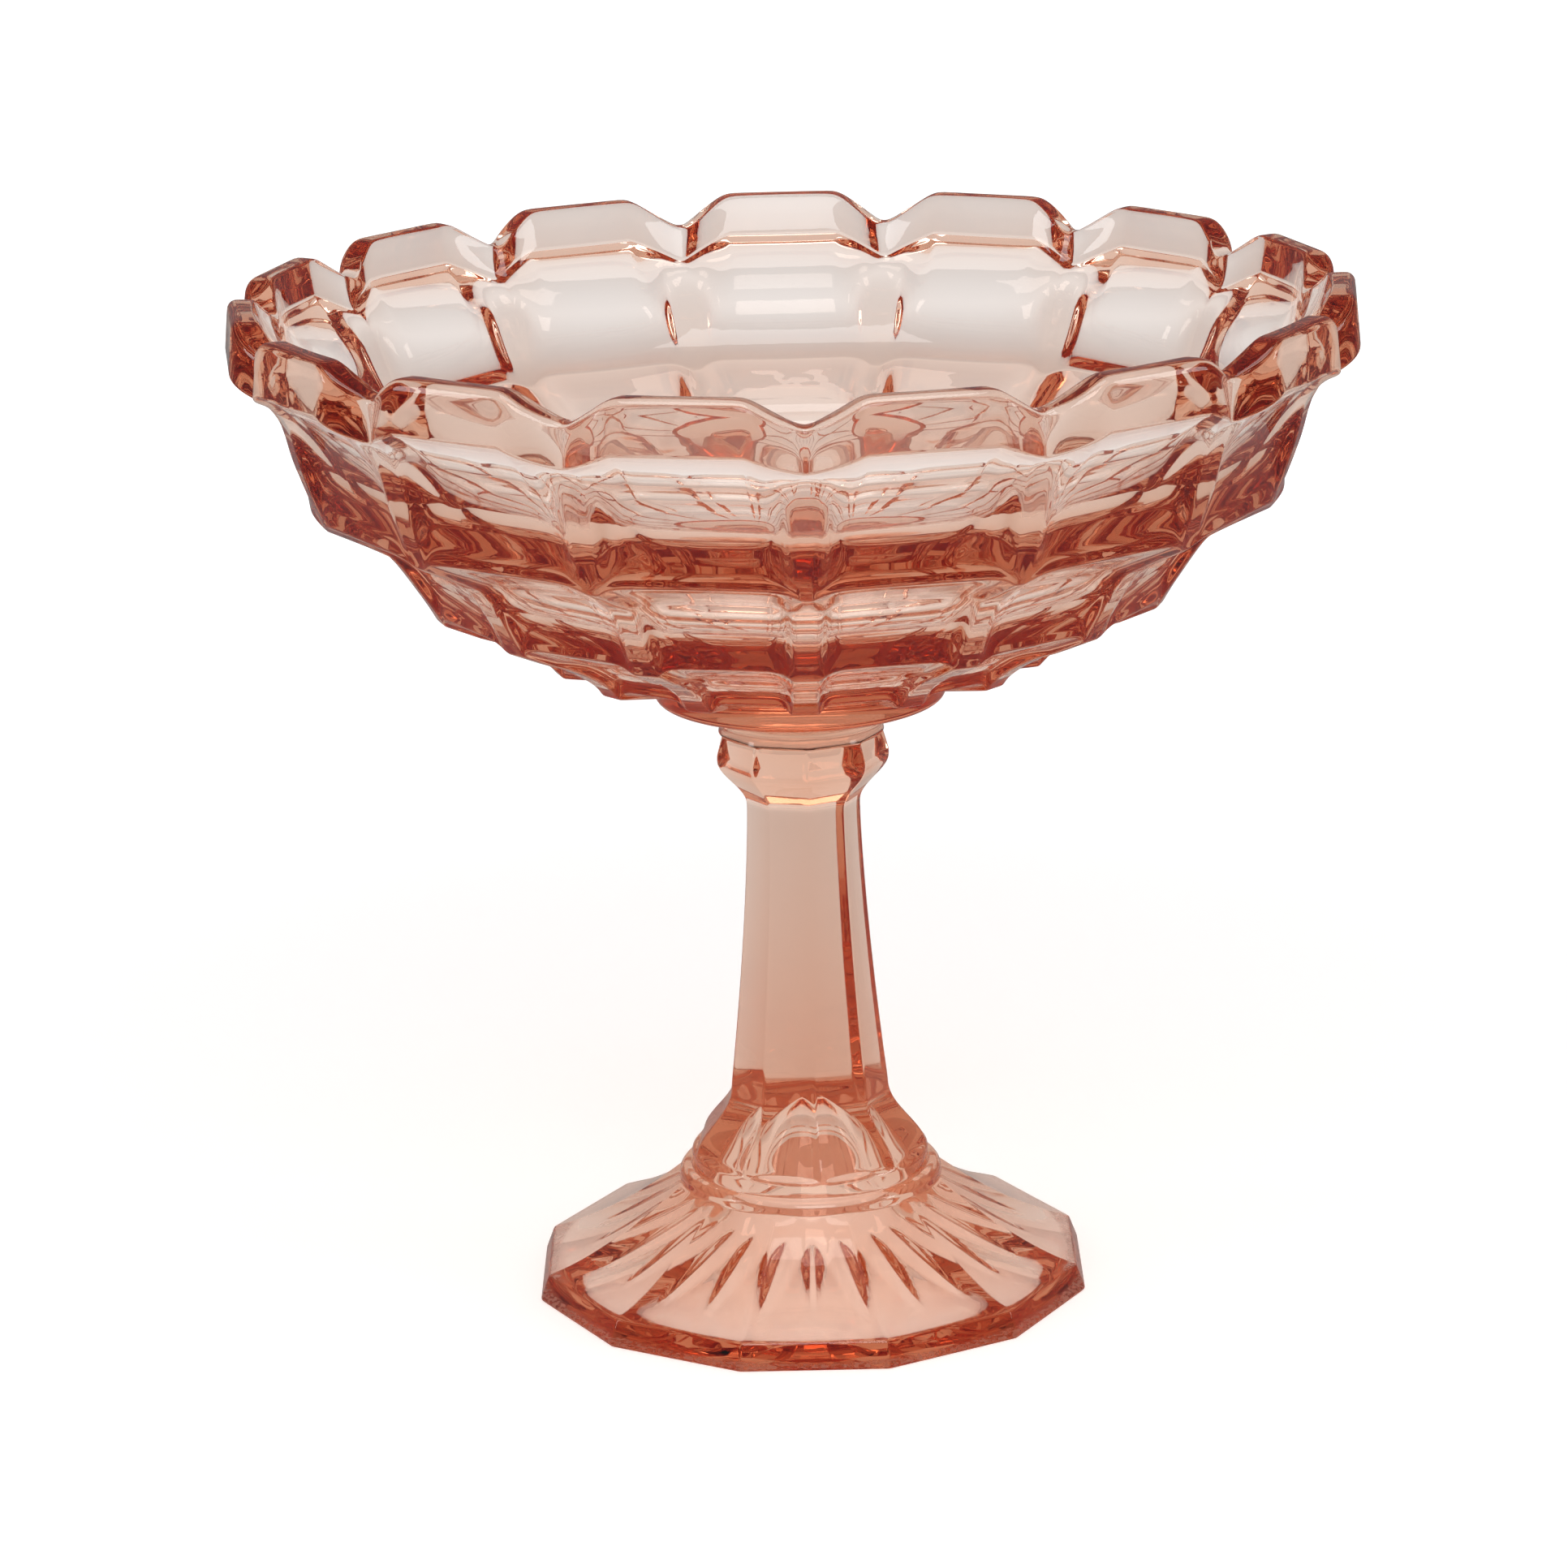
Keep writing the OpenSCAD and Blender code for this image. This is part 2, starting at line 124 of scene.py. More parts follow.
@dataclass
class Sheet:
    """Dense surface of one mould leaf, as polar rows that run from the underside round to the top.

    Attributes:
        start: Angle of the leaf's first edge, in degrees.
        span: Angle between the leaf's two edges, in degrees.
        count: Samples across the leaf.
        pitch: Distance between two rows, in millimetres.
        rows_rho: Distances from the axis, row by row.
        rows_z: Heights, row by row.
        rows_tag: Tag of each row.
        rows_soft: Rounding across the leaf at each row.
    """

    start: float
    span: float
    count: int
    pitch: float = 0.25
    rows_rho: list[np.ndarray] = field(default_factory=list)
    rows_z: list[np.ndarray] = field(default_factory=list)
    rows_tag: list[float] = field(default_factory=list)
    rows_soft: list[float] = field(default_factory=list)

    @property
    def angles(self) -> np.ndarray:
        """Angles of the samples across the leaf, in radians."""
        return np.radians(self.start + self.span * np.arange(self.count) / self.count)

    def add(self, rho: np.ndarray | float, z: np.ndarray | float, tag: float = PLAIN,
            soft: float = 0.3) -> None:
        """Add a ring, with rows on the straight way to it from the last one.

        Args:
            rho: Distance from the axis across the leaf.
            z: Height across the leaf.
            tag: Tag kept with the rows of this stretch.
            soft: Rounding across the leaf at the ring, in millimetres.
        """
        rho = np.broadcast_to(np.asarray(rho, float), (self.count,))
        z = np.broadcast_to(np.asarray(z, float), (self.count,))
        steps = 1
        if self.rows_rho:
            far = np.hypot(rho - self.rows_rho[-1], z - self.rows_z[-1])
            steps = max(1, round(float(far.mean()) / self.pitch))
            first_rho, first_z, first_soft = self.rows_rho[-1], self.rows_z[-1], self.rows_soft[-1]
        for i in range(1, steps + 1):
            share = i / steps
            self.rows_rho.append(rho if steps == 1 else mix(first_rho, rho, share))
            self.rows_z.append(z if steps == 1 else mix(first_z, z, share))
            self.rows_tag.append(tag)
            self.rows_soft.append(soft if steps == 1 else mix(first_soft, soft, share))

    def soften(self, values: np.ndarray, sigma: float, axis: Axis) -> np.ndarray:
        """Round the edges of a sheet's values.

        Args:
            values: Values over rows and samples.
            sigma: Spread of the rounding along the rows, in millimetres.
            axis: Direction of the pass. A pass across uses the rows' own rounding.

        Returns:
            The softened values.
        """
        if axis is Axis.ALONG:
            weights = bell(sigma / self.pitch)
            half = len(weights) // 2
            ahead = 2.0 * values[:1] - values[half:0:-1]
            behind = 2.0 * values[-1:] - values[-2:-half - 2:-1]
            padded = np.concatenate([ahead, values, behind])
            return sum(w * padded[i:i + len(values)] for i, w in enumerate(weights))
        step = math.radians(self.span) / self.count
        out = np.empty_like(values)
        for i, row in enumerate(values):
            reach = max(float(np.mean(self.rows_rho[i])) * step, 1e-4)
            weights = bell(min(self.rows_soft[i] / reach, self.count / 16.0))
            half = len(weights) // 2
            out[i] = np.convolve(np.concatenate([row[-half:], row, row[:half]]), weights, "valid")
        return out

    def finish(self, along: float) -> tuple[np.ndarray, np.ndarray, np.ndarray]:
        """Soften the sheet, close it across its two edges and draw its first and last rows to the axis.

        Args:
            along: Rounding along the rows, in millimetres.

        Returns:
            Distances from the axis, heights, and tags of the rows; the last sample repeats the first.
        """
        parts = []
        for rows in (self.rows_rho, self.rows_z):
            values = self.soften(np.array(rows), along, Axis.ALONG)
            values = self.soften(values, along, Axis.ACROSS)
            parts.append(np.concatenate([values, values[:, :1]], axis=1))
        parts[0][[0, -1]] = 0.0
        return parts[0], parts[1], np.array(self.rows_tag)


def sample(values: np.ndarray, rows: np.ndarray, columns: np.ndarray) -> np.ndarray:
    """Read a dense sheet at fractional places.

    Args:
        values: Values over rows and samples.
        rows: Row places.
        columns: Sample places of each row.

    Returns:
        Values at each row and column.
    """
    low_r = np.clip(rows.astype(int), 0, values.shape[0] - 2)
    low_c = np.clip(columns.astype(int), 0, values.shape[1] - 2)
    part_r = (rows - low_r)[:, None]
    part_c = columns - low_c
    low_r = low_r[:, None]
    near = mix(values[low_r, low_c], values[low_r, low_c + 1], part_c)
    far = mix(values[low_r + 1, low_c], values[low_r + 1, low_c + 1], part_c)
    return mix(near, far, part_r)


class NodeKit:
    """Short hand for building a node tree."""

    def __init__(self, tree: bpy.types.NodeTree) -> None:
        """Keep the tree that is built."""
        self.tree = tree

    def add(self, kind: str, inputs: dict | None = None, **settings: object) -> bpy.types.Node:
        """Add a node.

        Args:
            kind: Type name of the node.
            inputs: Values or output sockets for inputs, by name or number.
            settings: Properties of the node.

        Returns:
            The new node.
        """
        node = self.tree.nodes.new(kind)
        for name, value in settings.items():
            setattr(node, name, value)
        for key, value in (inputs or {}).items():
            if isinstance(value, bpy.types.NodeSocket):
                self.tree.links.new(value, node.inputs[key])
            else:
                node.inputs[key].default_value = value
        return node

    def math(self, operation: str, a: object, b: object = 0.0, clamp: bool = False) -> bpy.types.NodeSocket:
        """Add a Math node and give its output."""
        node = self.add("ShaderNodeMath", {0: a, 1: b}, operation=operation, use_clamp=clamp)
        return node.outputs[0]

    def ramp(self, value: object, taken: Pair, given: Pair) -> bpy.types.NodeSocket:
        """Map a range of values softly to another.

        Args:
            value: Value or output socket that is mapped.
            taken: Ends of the range that it comes from.
            given: Ends of the range that it goes to.

        Returns:
            The output socket.
        """
        node = self.add("ShaderNodeMapRange", {0: value, 1: taken[0], 2: taken[1], 3: given[0], 4: given[1]},
                        interpolation_type="SMOOTHSTEP")
        return node.outputs[0]

    def blend(self, share: object, a: object, b: object) -> bpy.types.NodeSocket:
        """Add a Mix node for two values and give its output."""
        return self.add("ShaderNodeMix", {0: share, 2: a, 3: b}, data_type="FLOAT").outputs[0]

    def tone(self, share: object, a: object, b: object) -> bpy.types.NodeSocket:
        """Add a Mix node for two colours and give its output."""
        return self.add("ShaderNodeMix", {0: share, 6: a, 7: b}, data_type="RGBA").outputs[2]

    def link(self, source: bpy.types.NodeSocket, target: bpy.types.NodeSocket) -> None:
        """Join two sockets."""
        self.tree.links.new(source, target)


def new_group(name: str, kind: str, inputs: list[tuple],
              outputs: list[tuple]) -> tuple[NodeKit, dict, bpy.types.Node]:
    """Start a node group with named sockets.

    Args:
        name: Name of the group.
        kind: Type name of its tree.
        inputs: Name, socket type and default of each input.
        outputs: Name and socket type of each output.
    """
    tree = bpy.data.node_groups.new(name, kind)
    for label, socket, default in inputs:
        made = tree.interface.new_socket(name=label, in_out="INPUT", socket_type=socket)
        if default is not None:
            made.default_value = default
    for label, socket in outputs:
        tree.interface.new_socket(name=label, in_out="OUTPUT", socket_type=socket)
    kit = NodeKit(tree)
    entry = kit.add("NodeGroupInput")
    return kit, {s.name: s for s in entry.outputs if s.name}, kit.add("NodeGroupOutput")


class LeafRepeat:
    """Geometry Nodes tree that repeats one mould leaf round the axis and joins the copies."""

    def __init__(self) -> None:
        """Build the tree."""
        kit, given, end = new_group(
            "leaf_repeat", "GeometryNodeTree",
            [("Geometry", "NodeSocketGeometry", None), ("Count", "NodeSocketInt", 3),
             ("Wave Height", "NodeSocketFloat", 0.0), ("Wave Length", "NodeSocketFloat", 0.02),
             ("Seed", "NodeSocketFloat", 1.0), ("Material", "NodeSocketMaterial", None)],
            [("Geometry", "NodeSocketGeometry")])
        points = kit.add("GeometryNodePoints", {"Count": given["Count"]})
        turn = kit.math("DIVIDE", 2.0 * math.pi, given["Count"])
        turn = kit.math("MULTIPLY", turn, kit.add("GeometryNodeInputIndex").outputs[0])
        euler = kit.add("ShaderNodeCombineXYZ", {"Z": turn})
        spin = kit.add("FunctionNodeEulerToRotation", {0: euler.outputs[0]})
        copies = kit.add("GeometryNodeInstanceOnPoints", {
            "Points": points.outputs[0], "Instance": given["Geometry"], "Rotation": spin.outputs[0]})
        real = kit.add("GeometryNodeRealizeInstances", {0: copies.outputs[0]})
        joined = kit.add("GeometryNodeMergeByDistance",
                         {"Geometry": real.outputs[0], "Distance": JOIN_DISTANCE})
        size = kit.math("DIVIDE", 1.0, given["Wave Length"])
        noise = kit.add("ShaderNodeTexNoise", {"W": given["Seed"], "Scale": size, "Detail": 1.0,
                                               "Roughness": 0.4}, noise_dimensions="4D")
        height = kit.math("SUBTRACT", noise.outputs[0], 0.5)
        height = kit.math("MULTIPLY", height, given["Wave Height"])
        calm = kit.add("GeometryNodeInputNamedAttribute", {"Name": "calm"}, data_type="FLOAT")
        height = kit.math("MULTIPLY", height, kit.math("SUBTRACT", 1.0, calm.outputs[0], True))
        way = kit.add("ShaderNodeVectorMath", {0: kit.add("GeometryNodeInputNormal").outputs[0], 3: height},
                      operation="SCALE")
        moved = kit.add("GeometryNodeSetPosition",
                        {"Geometry": joined.outputs[0], "Offset": way.outputs[0]})
        smooth = kit.add("GeometryNodeSetShadeSmooth", {0: moved.outputs[0]})
        skin = kit.add("GeometryNodeSetMaterial", {"Geometry": smooth.outputs[0],
                                                   "Material": given["Material"]})
        kit.link(skin.outputs[0], end.inputs[0])
        self.tree = kit.tree

    def make(self, leaf: bpy.types.Mesh, name: str, values: dict[str, object]) -> bpy.types.Object:
        """Repeat a leaf and keep the result as a plain mesh.

        Args:
            leaf: Mesh of one leaf.
            name: Name of the finished piece.
            values: Values of the tree's named inputs.

        Returns:
            The finished piece, linked to the scene.
        """
        carrier = bpy.data.objects.new(name + "_leaf", leaf)
        bpy.context.scene.collection.objects.link(carrier)
        modifier = carrier.modifiers.new("leaf_repeat", "NODES")
        modifier.node_group = self.tree
        for item in self.tree.interface.items_tree:
            if item.in_out == "INPUT" and item.name in values:
                modifier[item.identifier] = values[item.name]
        graph = bpy.context.evaluated_depsgraph_get()
        mesh = bpy.data.meshes.new_from_object(
            carrier.evaluated_get(graph), preserve_all_data_layers=True, depsgraph=graph)
        bpy.data.objects.remove(carrier)
        mesh.name = name
        piece = bpy.data.objects.new(name, mesh)
        bpy.context.scene.collection.objects.link(piece)
        return piece


def leaf_mesh(name: str, rho: np.ndarray, theta: np.ndarray, z: np.ndarray,
              marks: dict[str, np.ndarray]) -> bpy.types.Mesh:
    """Make the mesh of one leaf from its grid.

    Args:
        name: Name of the mesh.
        rho: Distances from the axis, in millimetres.
        theta: Angles, in radians.
        z: Heights, in millimetres.
        marks: Values of the rows for point attributes, by name.

    Returns:
        A mesh of quads whose faces point out of the glass.
    """
    rows, columns = rho.shape
    points = np.stack([rho * np.cos(theta), rho * np.sin(theta), z], axis=2).reshape(-1, 3) * MM
    index = np.arange(rows * columns).reshape(rows, columns)
    quads = np.stack([index[:-1, :-1], index[:-1, 1:], index[1:, 1:], index[1:, :-1]], axis=2)
    mesh = bpy.data.meshes.new(name)
    mesh.from_pydata(points.tolist(), [], quads.reshape(-1, 4).tolist())
    for label, values in marks.items():
        layer = mesh.attributes.new(label, "FLOAT", "POINT")
        layer.data.foreach_set("value", np.repeat(values, columns).astype(np.float32))
    LOG.info("%s: %d rows of %d points", name, rows, columns)
    return mesh


class GlassSkin:
    """Shader node group of a pressed glass surface: soft ripples, chill marks, smudges and rubbed places."""

    def __init__(self) -> None:
        """Build the group."""
        kit, given, end = new_group(
            "glass_skin", "ShaderNodeTree",
            [("Ripple Size", "NodeSocketFloat", 0.012), ("Smudge Size", "NodeSocketFloat", 0.03),
             ("Polish", "NodeSocketFloat", 0.004), ("Smudge", "NodeSocketFloat", 0.03),
             ("Rubbed", "NodeSocketFloat", 0.3)],
            [("Roughness", "NodeSocketFloat"), ("Height", "NodeSocketFloat"), ("Tint", "NodeSocketColor")])
        place = kit.add("ShaderNodeTexCoord").outputs["Object"]
        ripple = kit.add("ShaderNodeTexNoise", {
            "Vector": place, "Scale": kit.math("DIVIDE", 1.0, given["Ripple Size"]), "Detail": 1.5})
        chill = kit.add("ShaderNodeTexNoise", {
            "Vector": place, "Scale": kit.math("DIVIDE", 3.2, given["Ripple Size"]), "Detail": 1.0})
        smudge = kit.add("ShaderNodeTexNoise", {
            "Vector": place, "Scale": kit.math("DIVIDE", 1.0, given["Smudge Size"]), "Detail": 5.0,
            "Roughness": 0.62})
        smear = kit.ramp(smudge.outputs[0], (0.52, 0.74), (0.0, 1.0))
        scratch = kit.add("ShaderNodeTexNoise", {"Vector": place, "Scale": 900.0, "Detail": 3.0})
        wear = kit.add("ShaderNodeAttribute", attribute_name="wear").outputs["Fac"]
        rub = kit.math("MULTIPLY", wear, kit.ramp(scratch.outputs[0], (0.35, 0.62), (0.35, 1.0)))
        rough = kit.math("ADD", given["Polish"], kit.math("MULTIPLY", smear, given["Smudge"]))
        rough = kit.math("ADD", rough, kit.math("MULTIPLY", rub, given["Rubbed"]), True)
        height = kit.math("ADD", ripple.outputs[0], kit.math("MULTIPLY", chill.outputs[0], 0.18))
        graze = kit.math("MULTIPLY", rub, kit.math("MULTIPLY", scratch.outputs[0], 0.02))
        height = kit.math("ADD", height, graze)
        tint = kit.tone(smear, (1.0, 0.985, 0.978, 1.0), (0.975, 0.955, 0.945, 1.0))
        kit.link(rough, end.inputs["Roughness"])
        kit.link(height, end.inputs["Height"])
        kit.link(tint, end.inputs["Tint"])
        self.tree = kit.tree


@dataclass(frozen=True)
class PinkGlass:
    """Finish of one piece of pink glass.

    Attributes:
        name: Name of the material.
        ripple_size: Length of the surface ripples, in metres.
        ripple: Strength of the ripples.
        smudge_size: Size of the smudges, in metres.
        polish: Roughness of the clean surface.
        smudge: Roughness that smudges add.
        rubbed: Roughness that rubbed places add.
        ior: Refractive index of soda glass.
        absorb: Colour that the glass lets through.
        density: How fast the colour deepens with thickness.
        shadow: Share of light that passes one surface in a shadow.
        bump_depth: Depth that a ripple of full strength has, in metres.
    """

    name: str
    ripple_size: float
    ripple: float
    smudge_size: float
    polish: float
    smudge: float
    rubbed: float
    ior: float = 1.52
    absorb: Colour = (0.815, 0.387, 0.12, 1.0)
    density: float = 44.0
    shadow: Colour = (0.97, 0.95, 0.94, 1.0)
    bump_depth: float = 0.001

    def material(self, skin: GlassSkin) -> bpy.types.Material:
        """Build the material.

        Args:
            skin: Shared group of the glass surface.

        Returns:
            The new material.
        """
        made = bpy.data.materials.new(self.name)
        made.use_nodes = True
        made.node_tree.nodes.clear()
        kit = NodeKit(made.node_tree)
        surface = kit.add("ShaderNodeGroup", {
            "Ripple Size": self.ripple_size, "Smudge Size": self.smudge_size, "Polish": self.polish,
            "Smudge": self.smudge, "Rubbed": self.rubbed}, node_tree=skin.tree)
        bump = kit.add("ShaderNodeBump", {"Strength": self.ripple, "Distance": self.bump_depth,
                                          "Height": surface.outputs["Height"]})
        glass = kit.add("ShaderNodeBsdfPrincipled", {
            "Base Color": surface.outputs["Tint"], "Metallic": 0.0, "Roughness": surface.outputs["Roughness"],
            "IOR": self.ior, "Transmission Weight": 1.0, "Normal": bump.outputs[0]})
        clear = kit.add("ShaderNodeBsdfTransparent", {"Color": self.shadow})
        path = kit.add("ShaderNodeLightPath")
        seen = kit.add("ShaderNodeMixShader", {0: path.outputs[Ray.SHADOW.value], 1: glass.outputs[0],
                                               2: clear.outputs[0]})
        depth = kit.add("ShaderNodeVolumeAbsorption", {"Color": self.absorb, "Density": self.density})
        end = kit.add("ShaderNodeOutputMaterial")
        kit.link(seen.outputs[0], end.inputs["Surface"])
        kit.link(depth.outputs[0], end.inputs["Volume"])
        return made


@dataclass
class Bowl:
    """Pressed bowl with a lobed rim and three stepped tiers of flutes.

    Attributes repeat the CAD model's named sizes; those from weld on soften the surface and spread its mesh.
    """

    lobe_count: int = 15
    turn: float = 1.0
    rim_z: float = 199.9
    lobe_r: float = 107.5
    lobe_flat: float = 0.57
    lobe_power: float = 1.9
    band_h: float = 9.0
    band_draft: float = 0.8
    notch_drop: float = 6.0
    groove_drop: float = 3.8
    groove_r: float = 103.5
    groove_half: float = 0.35
    mouth_r: float = 103.0
    floor_z: float = 129.5
    crest_round: float = 1.2
    crest_step: float = 0.8
    crest_fall: float = 0.25
    notch_ease: float = 0.3
    lip_fall: float = 0.1
    lip_h: float = 6.0
    lip_in: float = 1.9
    corners: tuple = ((93.525, 163.1), (71.9175, 142.9), (48.9125, 130.2))
    ledges: tuple = (10.6, 8.1)
    ledge_falls: tuple = (5.0, 3.4)
    corner_dip: float = 2.1
    dip_rate: float = 1.6
    corner_groove: float = 0.4
    swells: tuple = (4.2, 2.9)
    scoops: tuple = (1.4, 0.6)
    flute_power: float = 9.0
    flute_rate: float = 2.0
    bends: tuple = (0.7, 0.77, 0.85)
    ridge_half: float = 2.6
    almond_half: float = 3.4
    almond_end: float = 0.93
    almond_power: float = 0.8
    steps: tuple = ((0.427, 134.0), (0.447, 139.0), (0.646, 150.0), (0.682, 160.5), (0.85, 172.0),
                    (0.955, 190.0))
    step_soft: float = 1.2
    disc_r: float = 28.3
    disc_z: float = 119.2
    disc_edge: float = 0.8
    cap_h: float = 5.0
    cap_in: Pair = (1.5, 1.7)
    cap_half: float = 1.0
    seat_z: float = 115.6
    seat_r: float = 16.2
    weld: float = 0.04
    edge_along: float = 0.45
    rim_soft: float = 1.3
    crest_wear: float = 0.1
    samples: int = 192
    row_reach: float = 4.2
    row_bend: float = 12.6
    column_reach: float = 2.4
    column_bend: float = 7.0
    name: str = "bowl_glass_piece"

    def ring(self, sheet: Sheet, row: tuple) -> tuple[np.ndarray, np.ndarray]:
        """One ring of the fluted outside over a column.

        Args:
            sheet: Sheet that the ring belongs to.
            row: Height at the column's middle, drop to the ridge, ridge radius, distance of the middle,
                half width of the ridge, and 0 for a lobe to 1 for a flute.

        Returns:
            Distances from the axis and heights over the sheet's samples.
        """
        z_mid, drop, ridge_r, mid_r, ridge_half, kind = row
        half_step = math.pi / self.lobe_count
        blunt = math.asin(ridge_half / ridge_r)
        edge_d = ridge_r * math.cos(half_step - blunt)
        edge_t = ridge_r * math.sin(half_step - blunt)
        w = np.linspace(-1.0, 1.0, 801)
        lobe = np.clip((1.0 - np.abs(w)) / (1.0 - self.lobe_flat), 0.0, 1.0)
        flute = 1.0 - np.abs(w) ** self.flute_power
        share = mix(lobe, flute, kind)
        d = edge_d + (mid_r - edge_d) * mix(1.0 - (1.0 - lobe) ** self.lobe_power, flute, kind)
        t = edge_t * w
        z = z_mid - drop * (1.0 - share)
        ridge = ridge_r * math.cos(blunt)
        rho = np.concatenate([[ridge], np.hypot(d, t), [ridge]])
        z = np.concatenate([[z[0]], z, [z[-1]]])
        angle = np.concatenate([[-half_step], np.arctan2(t, d), [half_step]])
        return np.interp(sheet.angles, angle, rho), np.interp(sheet.angles, angle, z)

    def tier1(self, t: float) -> tuple:
        """Row of the first tier.

        Args:
            t: Share of the tier's height, from 0 at the band down to 1 at the corner.

        Returns:
            The row, as ring() takes it.
        """
        r, z = self.corners[0]
        band_z = self.rim_z - self.crest_round - self.band_h
        mean_r = mix(self.lobe_r, r, math.sin(math.pi / 2 * t ** self.bends[0]))
        groove = mix(self.lobe_r - self.groove_r, self.corner_groove, t)
        dip = mix(self.groove_drop, self.corner_dip, min(1.0, self.dip_rate * t))
        almond = math.sin(math.pi * self.almond_end * t ** self.almond_power)
        wide = mix(self.groove_half, self.almond_half, almond)
        ridge = mean_r - groove + self.swells[0] * math.sin(math.pi * t)
        mid_r = mean_r - self.scoops[0] * math.sin(math.pi * t)
        return mix(band_z, z, t), dip, ridge, mid_r, wide, min(1.0, self.flute_rate * t)

    def lower_tier(self, number: int, t: float) -> tuple:
        """Row of the second or third tier.

        Args:
            number: 1 for the second tier, 2 for the third.
            t: Share of the tier's height, from 0 at the ledge above down to 1 at its corner.

        Returns:
            The row, as ring() takes it.
        """
        r, z = self.corners[number]
        top_r = self.corners[number - 1][0] - self.ledges[number - 1]
        top_z = self.corners[number - 1][1] - self.ledge_falls[number - 1]
        mean_r = mix(top_r, r, math.sin(math.pi / 2 * t ** self.bends[number]))
        swell = self.swells[1] * math.sin(math.pi * t) * mean_r / self.corners[0][0]
        ridge = mean_r - self.corner_groove * t + swell
        mid_r = mean_r - self.scoops[1] * math.sin(math.pi * t)
        return mix(top_z, z, t), self.corner_dip, ridge, mid_r, self.ridge_half, 1.0

    def wall(self, s: np.ndarray | float) -> np.ndarray | float:
        """Height of the cavity's stepped wall.

        Args:
            s: Distance from the axis as a share of the mouth's radius.

        Returns:
            Height of the wall there.
        """
        radii, heights = zip((0.0, self.floor_z), *self.steps, (1.0, self.rim_z))
        slope = (heights[-1] - heights[-2]) / (radii[-1] - radii[-2])
        shares = np.linspace(-0.25, 1.25, 3001)
        low = np.minimum(np.abs(shares) / radii[1], 1.0)
        line = np.interp(np.abs(shares), radii, heights) + np.maximum(shares - 1.0, 0.0) * slope
        line = np.where(low < 1.0, mix(heights[0], heights[1], low * low), line)
        line = np.convolve(line, bell(self.step_soft / self.mouth_r / (shares[1] - shares[0])), "same")
        return np.interp(s, shares, line)

    def sheet(self) -> Sheet:
        """Dense surface of one column, from the seat round the outside and the rim to the cavity's floor.

        Returns:
            The sheet, not yet softened. The seat is tagged as joined and the crest as rubbed.
        """
        sheet = Sheet(-180.0 / self.lobe_count, 360.0 / self.lobe_count, self.samples)
        seat = self.seat_z - self.weld
        sheet.add(0.0, seat, JOINED)
        sheet.add(self.seat_r, seat, JOINED)
        sheet.add(self.disc_r - self.disc_edge, self.disc_z)
        sheet.add(self.disc_r, self.disc_z + self.disc_edge)
        cap = self.ring(sheet, (self.disc_z + self.cap_h, 0.0, self.disc_r - self.cap_in[0],
                                self.disc_r - self.cap_in[1], self.cap_half, 1.0))
        corner = self.ring(sheet, self.lower_tier(2, 1.0))
        share = float(np.mean((self.disc_r - cap[0]) / (corner[0] - cap[0])))
        sheet.add(self.disc_r, mix(cap[1], corner[1], share))
        for number in (2, 1):
            for t in np.linspace(1.0, 0.0, 25):
                sheet.add(*self.ring(sheet, self.lower_tier(number, float(t))))
        for t in np.linspace(1.0, 0.0, 33):
            sheet.add(*self.ring(sheet, self.tier1(float(t))))
        top = self.lobe_r - self.band_draft
        crest_z = self.rim_z - self.crest_round
        soft, step = self.rim_soft, self.crest_step
        lobed = (self.groove_half, 0.0)
        sheet.add(*self.ring(sheet, (crest_z, self.notch_drop - self.notch_ease,
                                     self.groove_r - self.band_draft / 2.0, top, *lobed)), soft=soft)
        sheet.add(*self.ring(sheet, (self.rim_z - self.crest_fall, self.notch_drop, self.groove_r - step,
                                     top - step, *lobed)), RUBBED, soft)
        rho, z = self.ring(sheet, (self.rim_z, self.notch_drop, self.groove_r - 2.0 * step,
                                   top - 2.0 * step, *lobed))
        sheet.add(rho, z, RUBBED, soft)
        shares = np.linspace(0.0, 1.0, 4001)
        inner = np.interp(z - self.lip_h, self.wall(shares), shares)
        foot_r = self.mouth_r * inner
        sheet.add(np.minimum(foot_r + self.lip_in, rho - step), z - self.lip_fall, RUBBED, soft)
        sheet.add(foot_r, z - self.lip_h, RUBBED, soft)
        for u in np.linspace(0.0, 1.0, 201)[1:]:
            s = inner * (1.0 - u)
            sheet.add(self.mouth_r * s, self.wall(s), soft=soft)
        return sheet

    def build(self, repeat: LeafRepeat, glass: bpy.types.Material) -> bpy.types.Object:
        """Build the bowl.

        Args:
            repeat: Tree that repeats a leaf.
            glass: Material of the bowl.

        Returns:
            The finished piece.
        """
        sheet = self.sheet()
        rho, z, tags = sheet.finish(self.edge_along)
        near = [0, sheet.count // 5, sheet.count // 2]
        rows = places(np.stack([rho[:, near], z[:, near]], axis=2), self.row_reach, self.row_bend)
        angles = np.append(sheet.angles, math.radians(sheet.start + sheet.span))
        rim_row = int(np.argmax(tags == RUBBED))
        lead = [rim_row - 6, rim_row - 60, len(tags) // 5]
        tracks = np.stack([rho[lead] * np.cos(angles), rho[lead] * np.sin(angles), z[lead]], axis=2)
        columns = places(tracks.transpose(1, 0, 2), self.column_reach, self.column_bend)
        columns = np.broadcast_to(columns, (len(rows), len(columns)))
        first = math.radians(self.turn - 90.0 + 180.0 / self.lobe_count)
        theta = np.interp(columns, np.arange(len(angles)), angles) + first
        order = np.arange(len(tags))
        calm = np.interp(rows, order, tags == JOINED)
        crest = np.interp(rows, order, tags == RUBBED)
        leaf = leaf_mesh(self.name + "_leaf", sample(rho, rows, columns), theta, sample(z, rows, columns),
                         {"calm": calm, "wear": crest * self.crest_wear})
